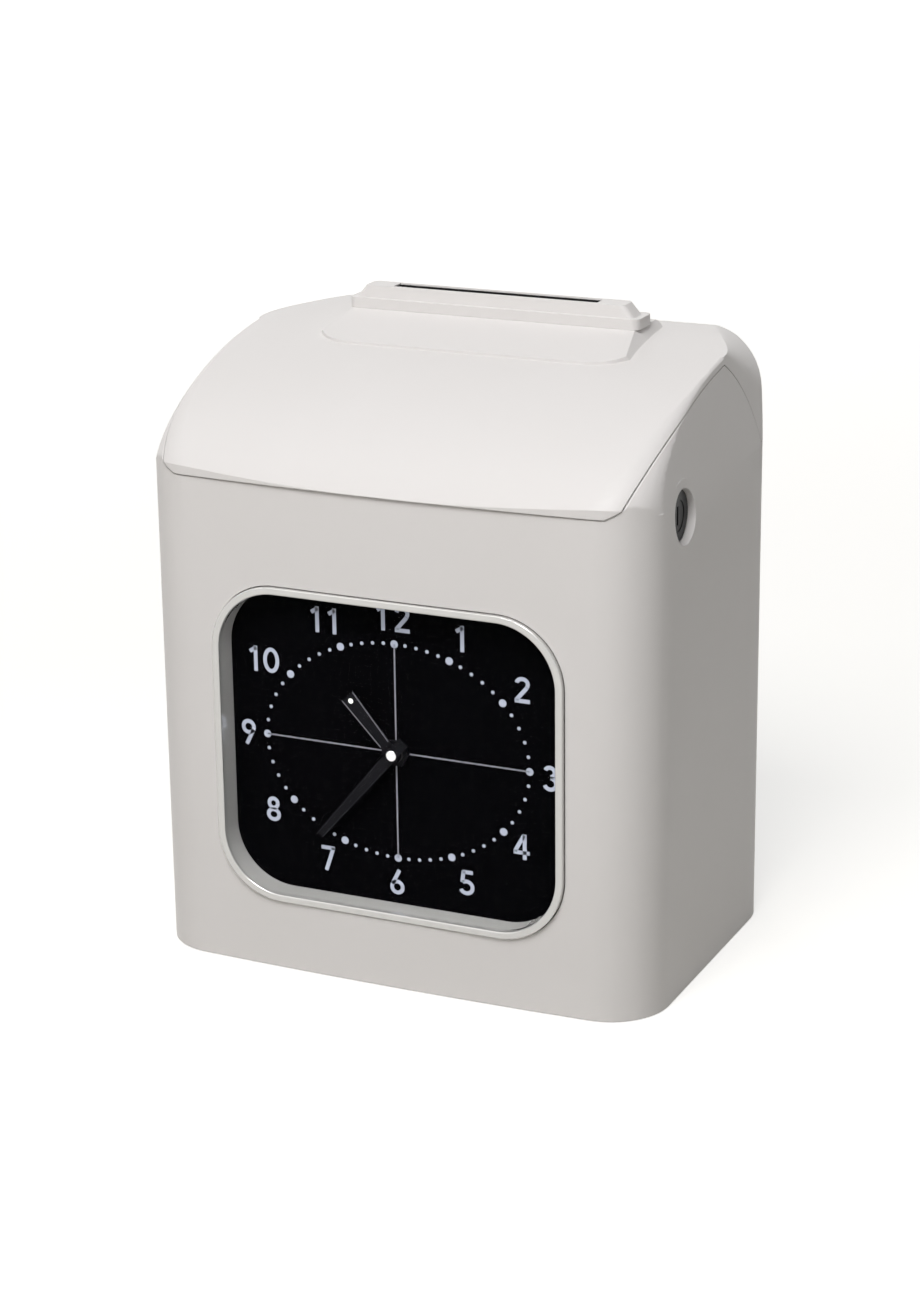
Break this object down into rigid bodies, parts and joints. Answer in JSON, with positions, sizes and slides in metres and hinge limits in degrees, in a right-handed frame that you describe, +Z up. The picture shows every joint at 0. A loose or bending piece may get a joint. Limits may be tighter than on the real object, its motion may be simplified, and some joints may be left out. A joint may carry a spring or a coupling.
{
  "type": "punch time clock",
  "caption": "Punch time clock with an analogue dial under a lens, a card slot in a hinged, key-locked top cover, and the card feed, print carriage and electronics inside.",
  "frame": {"origin": "middle of the footprint on the table", "axes": "+Z up, +X to the right of a person facing the dial, the dial faces -Y"},
  "size_m": [0.21, 0.144, 0.2508],
  "materials": {
    "casing_plastic": "satin",
    "collar_plastic": "satin",
    "lens_glass": "gloss",
    "dial_black": "matte",
    "hand_black": "satin",
    "chrome": "polished",
    "brass": "satin",
    "black_plastic": "matte",
    "steel": "satin",
    "zinc_sheet": "satin",
    "rubber": "matte",
    "board_green": "satin",
    "button_grey": "matte",
    "nylon": "satin",
    "aluminium": "satin",
    "ribbon_fabric": "matte",
    "core_steel": "matte"
  },
  "bodies": {
    "casing": {"housing": "casing_plastic", "hinge_pins": "steel", "base_plate": "zinc_sheet", "rubber_feet": "rubber", "case_screws": "steel", "back_plate": "zinc_sheet", "lock_barrel": "chrome", "lock_nut": "steel", "bezel": "chrome", "lens": "lens_glass", "dial_plate": "dial_black", "dial_nut": "brass", "movement": "black_plastic", "chassis": "zinc_sheet", "control_deck": "black_plastic", "display": "lens_glass", "button_board": "board_green", "guide_front": "zinc_sheet", "guide_rear": "zinc_sheet", "card_stop": "black_plastic", "platen": "rubber", "feed_motor": "steel", "guide_rod": "steel", "guide_rail": "steel", "belt_plate": "zinc_sheet", "drive_belt": "rubber", "carriage_motor": "steel", "ribbon_cartridge": "black_plastic", "ribbon": "ribbon_fabric", "main_board": "board_green", "transformer": "core_steel", "battery": "black_plastic", "inlet": "black_plastic", "inlet_pins": "brass"},
    "cover": {"top_cover": "casing_plastic", "slot_collar": "collar_plastic", "cover_catch": "steel"},
    "lock_plug": {"lock_core": "chrome", "lock_cam": "steel"},
    "hour": {"hour_hand": "hand_black"},
    "minute": {"minute_hand": "hand_black", "hand_cap": "chrome"},
    "mode": {"mode_button": "button_grey"},
    "plus": {"plus_button": "button_grey"},
    "minus": {"minus_button": "button_grey"},
    "enter": {"enter_button": "button_grey"},
    "feed": {"feed_shaft": "steel", "feed_rollers": "rubber", "feed_gear": "nylon"},
    "pinch": {"pinch_shaft": "steel", "pinch_rollers": "rubber"},
    "pinion": {"motor_pinion": "brass"},
    "print_carriage": {"carriage": "black_plastic", "print_head": "aluminium"},
    "drive": {"drive_pulley": "brass"},
    "idler": {"idler_pulley": "nylon"},
    "knob": {"ribbon_knob": "button_grey"}
  },
  "joints": [
    {"name": "cover_hinge", "type": "hinge", "parent": "casing", "child": "cover", "pos_m": [0, 0.0678, 0.2015], "axis": [-1, 0, 0], "range_deg": [0, 75]},
    {"name": "lock_turn", "type": "hinge", "parent": "casing", "child": "lock_plug", "pos_m": [0.09, -0.0314, 0.1887], "axis": [-1, 0, 0], "range_deg": [0, 90]},
    {"name": "minute_turn", "type": "hinge", "parent": "casing", "child": "minute", "pos_m": [0, -0.06, 0.093], "axis": [0, 1, 0], "continuous": true},
    {"name": "hour_turn", "type": "hinge", "parent": "casing", "child": "hour", "pos_m": [0, -0.06, 0.093], "axis": [0, 1, 0], "continuous": true},
    {"name": "feed_turn", "type": "hinge", "parent": "casing", "child": "feed", "pos_m": [0, 0.04415, 0.168], "axis": [1, 0, 0], "continuous": true},
    {"name": "pinch_turn", "type": "hinge", "parent": "casing", "child": "pinch", "pos_m": [0, 0.02785, 0.168], "axis": [1, 0, 0], "continuous": true},
    {"name": "pinion_turn", "type": "hinge", "parent": "casing", "child": "pinion", "pos_m": [0.07, 0.05236, 0.14545], "axis": [1, 0, 0], "continuous": true},
    {"name": "carriage_slide", "type": "slide", "parent": "casing", "child": "print_carriage", "axis": [1, 0, 0], "range_m": [-0.03, 0.03]},
    {"name": "drive_turn", "type": "hinge", "parent": "casing", "child": "drive", "pos_m": [0.05, 0, 0.201], "axis": [0, 1, 0], "range_deg": [-270, 270]},
    {"name": "idler_turn", "type": "hinge", "parent": "casing", "child": "idler", "pos_m": [-0.05, 0, 0.201], "axis": [0, 1, 0], "range_deg": [-270, 270]},
    {"name": "ribbon_knob_turn", "type": "hinge", "parent": "casing", "child": "knob", "pos_m": [-0.04, 0.016, 0.224], "axis": [0, 0, 1], "continuous": true},
    {"name": "mode_press", "type": "slide", "parent": "casing", "child": "mode", "axis": [0, 0, -1], "range_m": [0, 0.0015], "stiffness_N_per_m": 400, "springref_m": -0.001},
    {"name": "plus_press", "type": "slide", "parent": "casing", "child": "plus", "axis": [0, 0, -1], "range_m": [0, 0.0015], "stiffness_N_per_m": 400, "springref_m": -0.001},
    {"name": "minus_press", "type": "slide", "parent": "casing", "child": "minus", "axis": [0, 0, -1], "range_m": [0, 0.0015], "stiffness_N_per_m": 400, "springref_m": -0.001},
    {"name": "enter_press", "type": "slide", "parent": "casing", "child": "enter", "axis": [0, 0, -1], "range_m": [0, 0.0015], "stiffness_N_per_m": 400, "springref_m": -0.001}
  ],
  "couplings": [
    {"joint": "hour_turn", "follows": "minute_turn", "ratio": 0.083333},
    {"joint": "pinch_turn", "follows": "feed_turn", "ratio": -1},
    {"joint": "pinion_turn", "follows": "feed_turn", "ratio": -3},
    {"joint": "drive_turn", "follows": "carriage_slide", "rad_per_m": 151.51},
    {"joint": "idler_turn", "follows": "carriage_slide", "rad_per_m": 151.51}
  ]
}
